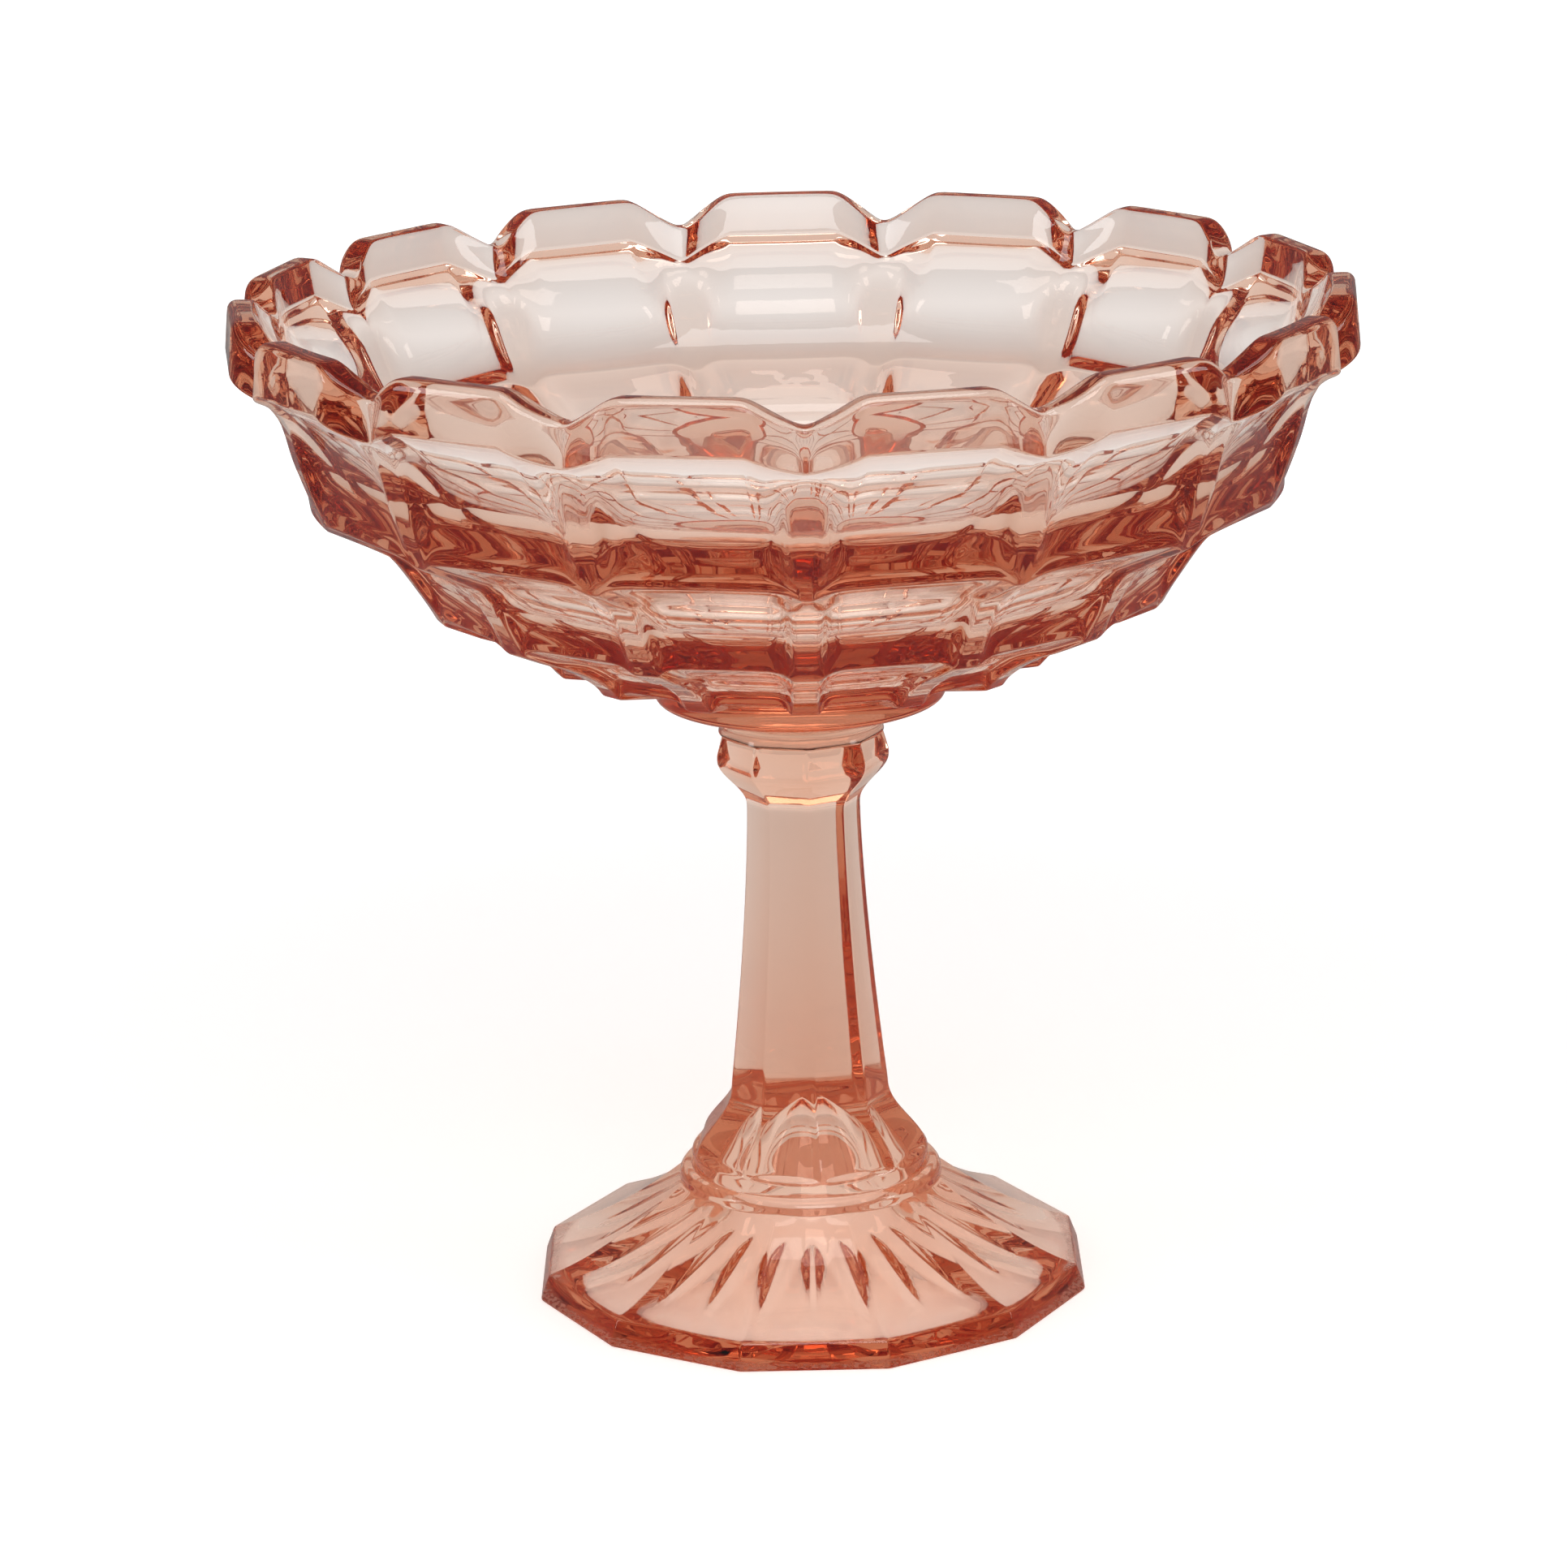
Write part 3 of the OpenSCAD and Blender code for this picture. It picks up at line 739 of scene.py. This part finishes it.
        return repeat.make(leaf, self.name, {
            "Count": self.lobe_count, "Wave Height": 0.00012, "Wave Length": 0.03, "Seed": 3.0,
            "Material": glass})

    def dress(self, piece: bpy.types.Object) -> None:
        """Tie the piece to the CAD model.

        Args:
            piece: The finished piece.
        """
        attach(piece, "root")
        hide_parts("bowl")


@dataclass
class Wafer:
    """Thin disc of glass that joins the bowl to the standard.

    Attributes repeat the CAD model's named sizes; those from weld on soften the surface and spread its mesh.
    """

    low_z: float = 112.4
    thick: float = 3.2
    radius: float = 16.2
    waist: float = 0.4
    weld: float = 0.04
    edge_along: float = 0.18
    sectors: int = 12
    samples: int = 16
    pitch: float = 0.1
    columns: int = 9
    row_reach: float = 1.6
    row_bend: float = 9.0
    name: str = "wafer_glass_piece"

    def build(self, repeat: LeafRepeat, glass: bpy.types.Material) -> bpy.types.Object:
        """Build the wafer.

        Args:
            repeat: Tree that repeats a leaf.
            glass: Material of the wafer.

        Returns:
            The finished piece.
        """
        sheet = Sheet(0.0, 360.0 / self.sectors, self.samples, self.pitch)
        low, high = self.low_z - self.weld, self.low_z + self.thick + self.weld
        sheet.add(0.0, low, JOINED)
        sheet.add(self.radius, low, JOINED)
        sheet.add(self.radius - self.waist, low + self.thick / 3.0)
        sheet.add(self.radius - self.waist, high - self.thick / 3.0)
        sheet.add(self.radius, high)
        sheet.add(0.0, high, JOINED)
        rho, z, tags = sheet.finish(self.edge_along)
        rows = places(np.stack([rho[:, :1], z[:, :1]], axis=2), self.row_reach, self.row_bend)
        columns = np.linspace(0.0, float(sheet.count), self.columns)
        columns = np.broadcast_to(columns, (len(rows), self.columns))
        theta = np.radians(sheet.span * columns / sheet.count)
        calm = np.interp(rows, np.arange(len(tags)), tags)
        leaf = leaf_mesh(self.name + "_leaf", sample(rho, rows, columns), theta, sample(z, rows, columns),
                         {"calm": calm, "wear": np.zeros_like(calm)})
        return repeat.make(leaf, self.name, {
            "Count": self.sectors, "Wave Height": 0.0002, "Wave Length": 0.012, "Seed": 5.0,
            "Material": glass})

    def dress(self, piece: bpy.types.Object) -> None:
        """Tie the piece to the CAD model.

        Args:
            piece: The finished piece.
        """
        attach(piece, "root")
        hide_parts("joining_wafer")


@dataclass
class Standard:
    """Pressed standard: nine-sided knop and stem, two round collars, and a twelve-sided hollow foot.

    Attributes repeat the CAD model's named sizes; those from edge_along on soften the surface and spread its
    mesh.
    """

    top_z: float = 112.4
    stem_sides: int = 9
    stem_turn: float = 5.5
    knop_r: float = 17.1
    knop_h: float = 1.0
    knop_chamfer: float = 4.0
    knop_taper_h: float = 9.3
    knop_power: float = 0.95
    knop_in: float = 1.1
    stem_r: float = 11.3
    stem_low_r: float = 15.8
    stem_power: float = 1.5
    flare_z: float = 41.0
    flare_sink: float = 0.6
    flare_in: float = 0.2
    flare_power: float = 1.17
    collar1: tuple = (23.4, 3.9)
    collar2: tuple = (25.9, 2.7)
    collar_z: float = 21.0
    collar_round: Pair = (0.8, 1.0)
    foot_sides: int = 12
    foot_r: float = 55.7
    foot_edge_h: float = 5.4
    foot_draft: float = 1.8
    foot_sag: float = 1.7
    foot_toe: Pair = (0.5, 0.7)
    hollow_r: float = 48.502
    hollow_z: float = 38.0
    hollow_shares: Pair = (0.42, 0.58)
    cone_power: float = 1.25
    bell_rate: float = 2.1
    ray_count: int = 24
    ray_tip_r: float = 40.502
    ray_spread: float = 58.0
    ray_length: float = 22.0
    edge_along: float = 0.32
    leaves: int = 3
    first: float = -150.0
    samples: int = 960
    row_samples: tuple = (0, 120, 240, 313, 400)
    pitch: float = 0.2
    columns: int = 97
    row_reach: float = 2.6
    row_bend: float = 9.0
    column_reach: float = 2.4
    column_bend: float = 5.0
    name: str = "standard_glass_piece"

    def sides(self, sheet: Sheet, radius: float, count: int, corner: float) -> np.ndarray:
        """Distances from the axis of a flat-sided ring.

        Args:
            sheet: Sheet that the ring belongs to.
            radius: Corner radius.
            count: Number of sides.
            corner: Angle of one corner, in degrees.

        Returns:
            Distances over the sheet's samples.
        """
        step = 2.0 * math.pi / count
        away = np.mod(sheet.angles - math.radians(corner), step) - step / 2.0
        return radius * math.cos(step / 2.0) / np.cos(away)

    def stem(self, sheet: Sheet, radius: float) -> np.ndarray:
        """Ring of the stem with a corner radius."""
        return self.sides(sheet, radius, self.stem_sides, self.stem_turn - 90.0)

    def foot(self, sheet: Sheet, radius: float) -> np.ndarray:
        """Ring of the foot with a corner radius."""
        return self.sides(sheet, radius, self.foot_sides, 180.0 / self.foot_sides - 90.0)

    def wall(self, r: np.ndarray | float) -> np.ndarray | float:
        """Height of the hollow's wall.

        Args:
            r: Distance from the axis.

        Returns:
            Height of the wall there.
        """
        s = np.minimum(np.asarray(r) / self.hollow_r, 1.0)
        dome = (1.0 + np.cos(math.pi * np.minimum(1.0, self.bell_rate * s))) / 2.0
        cone = (1.0 - s) ** self.cone_power
        return self.hollow_z * (self.hollow_shares[0] * cone + self.hollow_shares[1] * dome)

    def under(self, sheet: Sheet, r: float) -> np.ndarray:
        """Heights of the hollow with its rays, at a distance from the axis.

        Args:
            sheet: Sheet that the ring belongs to.
            r: Distance from the axis.

        Returns:
            Heights over the sheet's samples.
        """
        start = self.ray_tip_r - self.ray_length
        wall = float(self.wall(r))
        if not start < r < self.ray_tip_r:
            return np.full(sheet.count, wall)
        tip_z, start_z = float(self.wall(self.ray_tip_r)), float(self.wall(start))
        slope = math.atan2(start_z - tip_z, self.ray_length)
        root = mix(start_z, tip_z, (r - start) / self.ray_length)
        step = 2.0 * math.pi / self.ray_count
        away = np.mod(sheet.angles + math.pi / 2.0 + step / 2.0, step) - step / 2.0
        fall = np.abs(r * np.sin(away)) / math.tan(math.radians(self.ray_spread)) / math.cos(slope)
        return np.maximum(wall, root - fall)

    def sheet(self) -> tuple[Sheet, list[int]]:
        """Dense surface of one leaf, from the hollow's top down, round the foot and up the stem.

        Returns:
            The sheet, not yet softened, and the rows where the hollow, the resting ring, the foot and the
            collars end. The knop's upper face is tagged as joined and the resting ring as rubbed.
        """
        sheet = Sheet(self.first, 360.0 / self.leaves, self.samples, self.pitch)
        for r in np.arange(0.0, self.hollow_r, 0.25):
            sheet.add(float(r), self.under(sheet, float(r)))
        sheet.add(self.hollow_r, 0.0)
        ends = [len(sheet.rows_rho)]
        sheet.add(self.foot(sheet, self.foot_r - self.foot_toe[0]), 0.0, RUBBED)
        ends.append(len(sheet.rows_rho))
        sheet.add(self.foot(sheet, self.foot_r), self.foot_toe[1])
        top_r = self.collar2[0] / math.cos(math.pi / self.foot_sides)
        for t in np.linspace(1.0, 0.0, 33):
            sag = self.foot_sag * 4.0 * t * (1.0 - t)
            sheet.add(self.foot(sheet, mix(top_r, self.foot_r - self.foot_draft, t)),
                      mix(self.collar_z, self.foot_edge_h, t) - sag)
        ends.append(len(sheet.rows_rho))
        mid_z = self.collar_z + self.collar2[1]
        high_z = mid_z + self.collar1[1]
        high_r, low_r = self.collar1[0], self.collar2[0]
        inset, fall = self.collar_round
        for r, z in ((low_r, self.collar_z), (low_r, mid_z - fall), (low_r - inset, mid_z), (high_r, mid_z),
                     (high_r, high_z - inset)):
            sheet.add(r, z)
        flare_low = high_z - self.flare_sink

        def flare(z: float) -> np.ndarray:
            """Ring of the flare.

            Args:
                z: Height of the ring.

            Returns:
                Distances over the sheet's samples.
            """
            t = (self.flare_z - z) / (self.flare_z - flare_low)
            part = (1.0 - math.cos(math.pi * t ** self.flare_power)) / 2.0
            return self.stem(sheet, mix(self.stem_low_r, high_r - self.flare_in, part))

        sheet.add(np.maximum(high_r - inset, flare(high_z)), high_z)
        ends.append(len(sheet.rows_rho))
        for z in np.linspace(high_z, self.flare_z, 33):
            sheet.add(flare(float(z)), float(z))
        band_z = self.top_z - self.knop_chamfer
        low_z = band_z - self.knop_h
        neck_z = low_z - self.knop_taper_h
        for t in np.linspace(1.0, 0.0, 33)[1:]:
            sheet.add(self.stem(sheet, mix(self.stem_r, self.stem_low_r, t ** self.stem_power)),
                      mix(neck_z, self.flare_z, t))
        for t in np.linspace(1.0, 0.0, 33)[1:]:
            part = (1.0 - math.cos(math.pi * t ** self.knop_power)) / 2.0
            sheet.add(self.stem(sheet, mix(self.knop_r, self.stem_r, part)), mix(low_z, neck_z, t))
        sheet.add(self.stem(sheet, self.knop_r), band_z)
        sheet.add(self.stem(sheet, self.knop_r - self.knop_in), self.top_z)
        sheet.add(0.0, self.top_z, JOINED)
        return sheet, ends

    def build(self, repeat: LeafRepeat, glass: bpy.types.Material) -> bpy.types.Object:
        """Build the standard.

        Args:
            repeat: Tree that repeats a leaf.
            glass: Material of the standard.

        Returns:
            The finished piece.
        """
        sheet, ends = self.sheet()
        rho, z, tags = sheet.finish(self.edge_along)
        near = list(self.row_samples)
        rows = places(np.stack([rho[:, near], z[:, near]], axis=2), self.row_reach, self.row_bend)
        angles = np.append(sheet.angles, math.radians(sheet.start + sheet.span))
        shares = np.linspace(0.0, 1.0, self.columns)
        layouts = []
        for row in (ends[1] + 8, len(tags) - 200):
            track = np.stack([rho[row] * np.cos(angles), rho[row] * np.sin(angles)], axis=1)[:, None, :]
            spread = places(track, self.column_reach, self.column_bend)
            layouts.append(np.interp(shares, np.linspace(0.0, 1.0, len(spread)), spread))
        even = np.linspace(0.0, float(sheet.count), self.columns)
        share_out = np.clip((rows - ends[0]) / (ends[1] - ends[0]), 0.0, 1.0)[:, None]
        share_up = np.clip((rows - ends[2]) / (ends[3] - ends[2]), 0.0, 1.0)[:, None]
        columns = mix(mix(even[None], layouts[0][None], share_out), layouts[1][None], share_up)
        theta = np.interp(columns, np.arange(len(angles)), angles)
        order = np.arange(len(tags))
        calm = np.interp(rows, order, tags > PLAIN)
        rest = np.interp(rows, order, tags == RUBBED)
        leaf = leaf_mesh(self.name + "_leaf", sample(rho, rows, columns), theta, sample(z, rows, columns),
                         {"calm": calm, "wear": rest})
        return repeat.make(leaf, self.name, {
            "Count": self.leaves, "Wave Height": 0.00006, "Wave Length": 0.025, "Seed": 9.0,
            "Material": glass})

    def dress(self, piece: bpy.types.Object) -> None:
        """Tie the piece to the CAD model.

        Args:
            piece: The finished piece.
        """
        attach(piece, "root")
        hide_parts("stem_and_foot")


@dataclass
class Softbox:
    """Soft lamp of the studio.

    Attributes:
        name: Name of the lamp.
        place: Where it hangs, in metres.
        aim: Point that it faces, in metres.
        size: Width and height, in metres.
        power: Power in watts.
    """

    name: str
    place: Point
    aim: Point
    size: Pair
    power: float

    def build(self) -> None:
        """Hang the lamp."""
        lamp = bpy.data.lights.new(self.name, "AREA")
        lamp.shape = "RECTANGLE"
        lamp.size, lamp.size_y = self.size
        lamp.energy = self.power
        hung = bpy.data.objects.new(self.name, lamp)
        hung.location = self.place
        hung.rotation_euler = (Vector(self.aim) - Vector(self.place)).to_track_quat("-Z", "Y").to_euler()
        bpy.context.scene.collection.objects.link(hung)


@dataclass
class Studio:
    """Pale floor, white surround, soft lamps, and the camera at the photograph's place.

    Attributes:
        floor_half: Half the floor's side, in metres.
        floor_drop: How far the floor lies under the foot, in metres.
        floor_colour: Colour of the floor.
        floor_seen: Light that the floor shows of itself to the camera, near and far.
        seen_fade: Distances between which that light grows, in metres.
        floor_clear: Light that the floor shows of itself through glass, near and far.
        clear_fade: Distances between which that light grows, in metres.
        reflection_dimming: How far the floor's colour is painted darker where it shows in reflections, as
            painted shade.
        clear: Surround in front and behind, as it shows through glass.
        clear_way: Y parts of the directions between which that changes.
        mirror: Surround as it shows in reflections.
        fill: Surround as it lights matt surfaces.
        eye: Camera's place, in metres.
        pitch: Camera's tilt down, in degrees.
        yaw: Camera's turn, in radians.
        roll: Camera's roll, in radians.
        lens: Focal length on a 36 mm wide frame.
    """

    floor_half: float = 6.0
    floor_drop: float = 2e-5
    floor_colour: Colour = (0.8, 0.8, 0.8, 1.0)
    floor_seen: Pair = (0.36, 0.85)
    seen_fade: Pair = (0.15, 0.8)
    floor_clear: Pair = (0.1, 0.42)
    clear_fade: Pair = (0.2, 0.9)
    reflection_dimming: float = 0.5
    clear: Pair = (0.87, 0.94)
    clear_way: Pair = (-0.9, 0.1)
    mirror: float = 0.22
    fill: float = 0.45
    eye: Point = (0.0, -1.01821, 0.39137)
    pitch: float = 15.902
    yaw: float = -0.0035
    roll: float = -0.0223
    lens: float = 124.65

    def rays(self, kit: NodeKit) -> tuple:
        """Tell the rays apart that show the stage.

        Args:
            kit: Tree of a stage material.

        Returns:
            Masks of the camera's own rays, of rays that came through glass, and of reflected rays.
        """
        path = kit.add("ShaderNodeLightPath")
        through = path.outputs[Ray.TRANSMISSION.value]
        mirrored = kit.math("SUBTRACT", path.outputs[Ray.GLOSSY.value], through, True)
        return path.outputs[Ray.CAMERA.value], through, mirrored

    def floor(self) -> None:
        """Lay the floor."""
        h, low = self.floor_half, -self.floor_drop
        mesh = bpy.data.meshes.new("studio_floor")
        mesh.from_pydata([(-h, -h, low), (h, -h, low), (h, h, low), (-h, h, low)], [], [(0, 1, 2, 3)])
        made = bpy.data.materials.new("studio_floor")
        made.use_nodes = True
        made.node_tree.nodes.clear()
        kit = NodeKit(made.node_tree)
        eye, through, mirrored = self.rays(kit)
        place = kit.add("ShaderNodeTexCoord").outputs["Object"]
        far = kit.add("ShaderNodeVectorMath", {0: place}, operation="LENGTH").outputs["Value"]
        shown = kit.math("MULTIPLY", eye, kit.ramp(far, self.seen_fade, self.floor_seen))
        clear = kit.math("MULTIPLY", through, kit.ramp(far, self.clear_fade, self.floor_clear))
        shown = kit.math("ADD", shown, clear)
        # Painted shade: the floor's colour is darkened where reflected rays see it, which dims its
        # reflections.
        reflection_kept = kit.math("SUBTRACT", 1.0, kit.math("MULTIPLY", mirrored, self.reflection_dimming))
        matt = kit.add("ShaderNodeBsdfDiffuse", {"Color": kit.tone(reflection_kept, BLACK, self.floor_colour)})
        glow = kit.add("ShaderNodeEmission", {"Color": WHITE, "Strength": shown})
        both = kit.add("ShaderNodeAddShader", {0: matt.outputs[0], 1: glow.outputs[0]})
        end = kit.add("ShaderNodeOutputMaterial")
        kit.link(both.outputs[0], end.inputs["Surface"])
        mesh.materials.append(made)
        laid = bpy.data.objects.new("studio_floor", mesh)
        bpy.context.scene.collection.objects.link(laid)

    def surround(self) -> None:
        """Set the world: white to the eye, a little less so through glass, and dim to reflections."""
        world = bpy.data.worlds.new("studio")
        bpy.context.scene.world = world
        world.use_nodes = True
        world.node_tree.nodes.clear()
        kit = NodeKit(world.node_tree)
        eye, through, mirrored = self.rays(kit)
        way = kit.add("ShaderNodeSeparateXYZ", {0: kit.add("ShaderNodeTexCoord").outputs["Generated"]})
        clear = kit.ramp(way.outputs["Y"], self.clear_way, self.clear)
        level = kit.blend(eye, self.fill, 1.0)
        level = kit.blend(through, level, clear)
        level = kit.blend(mirrored, level, self.mirror)
        back = kit.add("ShaderNodeBackground", {"Color": WHITE, "Strength": level})
        end = kit.add("ShaderNodeOutputWorld")
        kit.link(back.outputs[0], end.inputs["Surface"])

    def lamps(self) -> None:
        """Hang the soft lamps."""
        for box in (Softbox("softbox_top", (0.0, -0.3, 1.4), (0.0, 0.0, 0.1), (0.9, 0.6), 4.5),
                    Softbox("softbox_front", (0.04, -0.5, 0.48), (0.0, 0.0, 0.05), (0.35, 0.3), 1.2),
                    Softbox("softbox_left", (-1.2, -0.35, 0.6), (0.0, 0.0, 0.12), (0.2, 0.6), 1.6),
                    Softbox("softbox_right", (1.2, -0.3, 0.6), (0.0, 0.0, 0.12), (0.2, 0.6), 1.4)):
            box.build()

    def camera(self) -> None:
        """Set up the camera."""
        pitch = math.radians(self.pitch)
        level = math.cos(pitch)
        ahead = Vector((math.sin(self.yaw) * level, math.cos(self.yaw) * level, -math.sin(pitch)))
        right = Vector((math.cos(self.yaw), -math.sin(self.yaw), 0.0))
        up = right.cross(ahead)
        turned = math.cos(self.roll) * right + math.sin(self.roll) * up
        upright = -math.sin(self.roll) * right + math.cos(self.roll) * up
        data = bpy.data.cameras.new("studio_camera")
        data.sensor_width = 36.0
        data.lens = self.lens
        data.clip_end = 50.0
        made = bpy.data.objects.new("studio_camera", data)
        facing = Matrix((turned, upright, -ahead)).transposed()
        made.matrix_world = Matrix.Translation(self.eye) @ facing.to_4x4()
        bpy.context.scene.collection.objects.link(made)
        bpy.context.scene.camera = made

    def build(self) -> None:
        """Set up the whole studio."""
        self.camera()
        self.floor()
        self.surround()
        self.lamps()
        scene = bpy.context.scene
        scene.view_settings.view_transform = "Standard"
        scene.cycles.max_bounces = 32
        scene.cycles.transmission_bounces = 32
        scene.cycles.glossy_bounces = 16
        scene.cycles.transparent_max_bounces = 32


def main() -> None:
    """Build the studio and the three pieces of glass in order."""
    logging.basicConfig(level=logging.INFO, format="%(name)s: %(message)s")
    Studio().build()
    repeat = LeafRepeat()
    skin = GlassSkin()
    finishes = (PinkGlass("bowl_pink_glass", 0.014, 0.05, 0.035, 0.004, 0.03, 0.2),
                PinkGlass("wafer_pink_glass", 0.008, 0.06, 0.02, 0.006, 0.03, 0.2),
                PinkGlass("standard_pink_glass", 0.012, 0.04, 0.028, 0.004, 0.03, 0.4, density=38.0))
    for maker, finish in zip((Bowl(), Wafer(), Standard()), finishes):
        piece = maker.build(repeat, finish.material(skin))
        maker.dress(piece)
        LOG.info("%s: %d faces", piece.name, len(piece.data.polygons))


if __name__ == "__main__":
    main()
